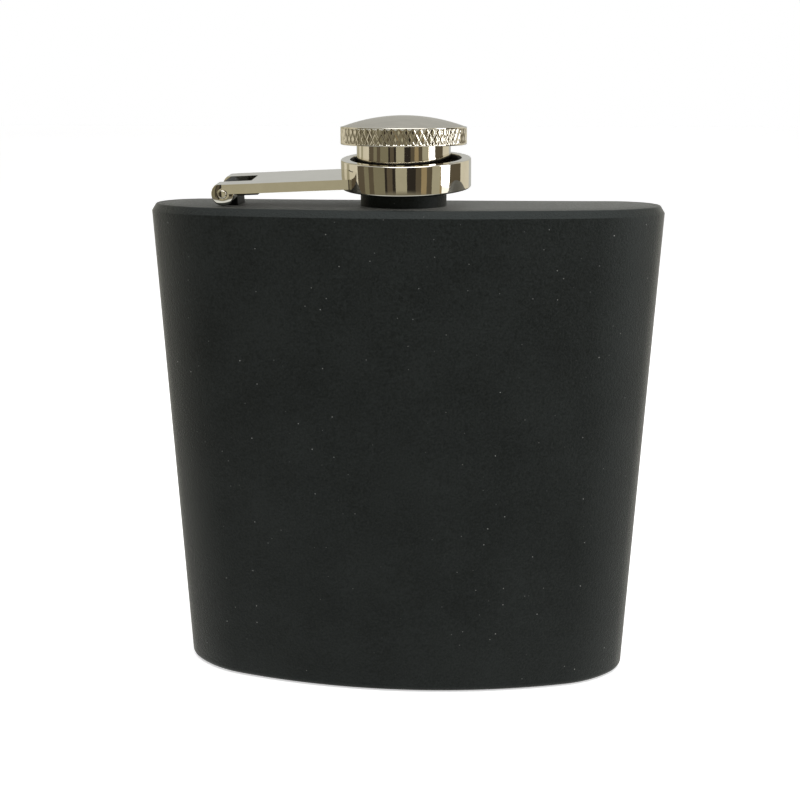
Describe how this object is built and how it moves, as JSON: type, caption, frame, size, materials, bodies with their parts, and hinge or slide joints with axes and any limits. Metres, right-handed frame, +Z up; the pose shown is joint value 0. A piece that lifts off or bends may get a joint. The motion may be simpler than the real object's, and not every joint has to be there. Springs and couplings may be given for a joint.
{
  "type": "hip flask",
  "caption": "Curved metal hip flask with a matt black coating and a knurled screw cap held captive by a ring on a hinged arm.",
  "frame": {"origin": "centre of the base, on the surface that the flask stands on", "axes": "+Z up along the neck, +X from the hinge towards the far shoulder, -Y out of the bulged front face"},
  "size_m": [0.0948, 0.0252, 0.1064],
  "materials": {
    "black_coating": "matt black powder coat with a fine grain",
    "polished_nickel": "polished nickel plate",
    "satin_nickel": "satin nickel plate",
    "spring_steel": "plain spring steel",
    "black_nylon": "black nylon",
    "white_plastic": "natural white polyethylene",
    "clear_silicone": "pale silicone rubber"
  },
  "bodies": {
    "bottle": {"body_shell": "black_coating", "top_plate": "black_coating", "base_plate": "black_coating", "neck_spout": "black_coating", "hinge_lug": "black_coating"},
    "arm": {"retaining_arm": "polished_nickel", "retaining_ring": "polished_nickel", "ring_liner": "black_nylon", "hinge_pin": "polished_nickel"},
    "clip": {"retaining_clip": "spring_steel"},
    "cap": {"cap_knob": "polished_nickel", "cap_dome": "satin_nickel", "thread_insert": "white_plastic", "gasket": "clear_silicone"}
  },
  "joints": [
    {"name": "arm_hinge", "type": "hinge", "parent": "bottle", "child": "arm", "pos_m": [-0.0319, 0.00024, 0.0933], "axis": [0, -0.9969, -0.0785], "range_deg": [0, 175]},
    {"name": "cap_lift", "type": "slide", "parent": "arm", "child": "clip", "axis": [0, 0, -1], "range_m": [0, 0.00125]},
    {"name": "cap_turn", "type": "hinge", "parent": "clip", "child": "cap", "pos_m": [0, 0, 0.1025], "axis": [0, 0, -1], "range_deg": [0, 450]}
  ],
  "couplings": [
    {"joint": "cap_lift", "follows": "cap_turn", "m_per_rad": 0.00015915}
  ]
}
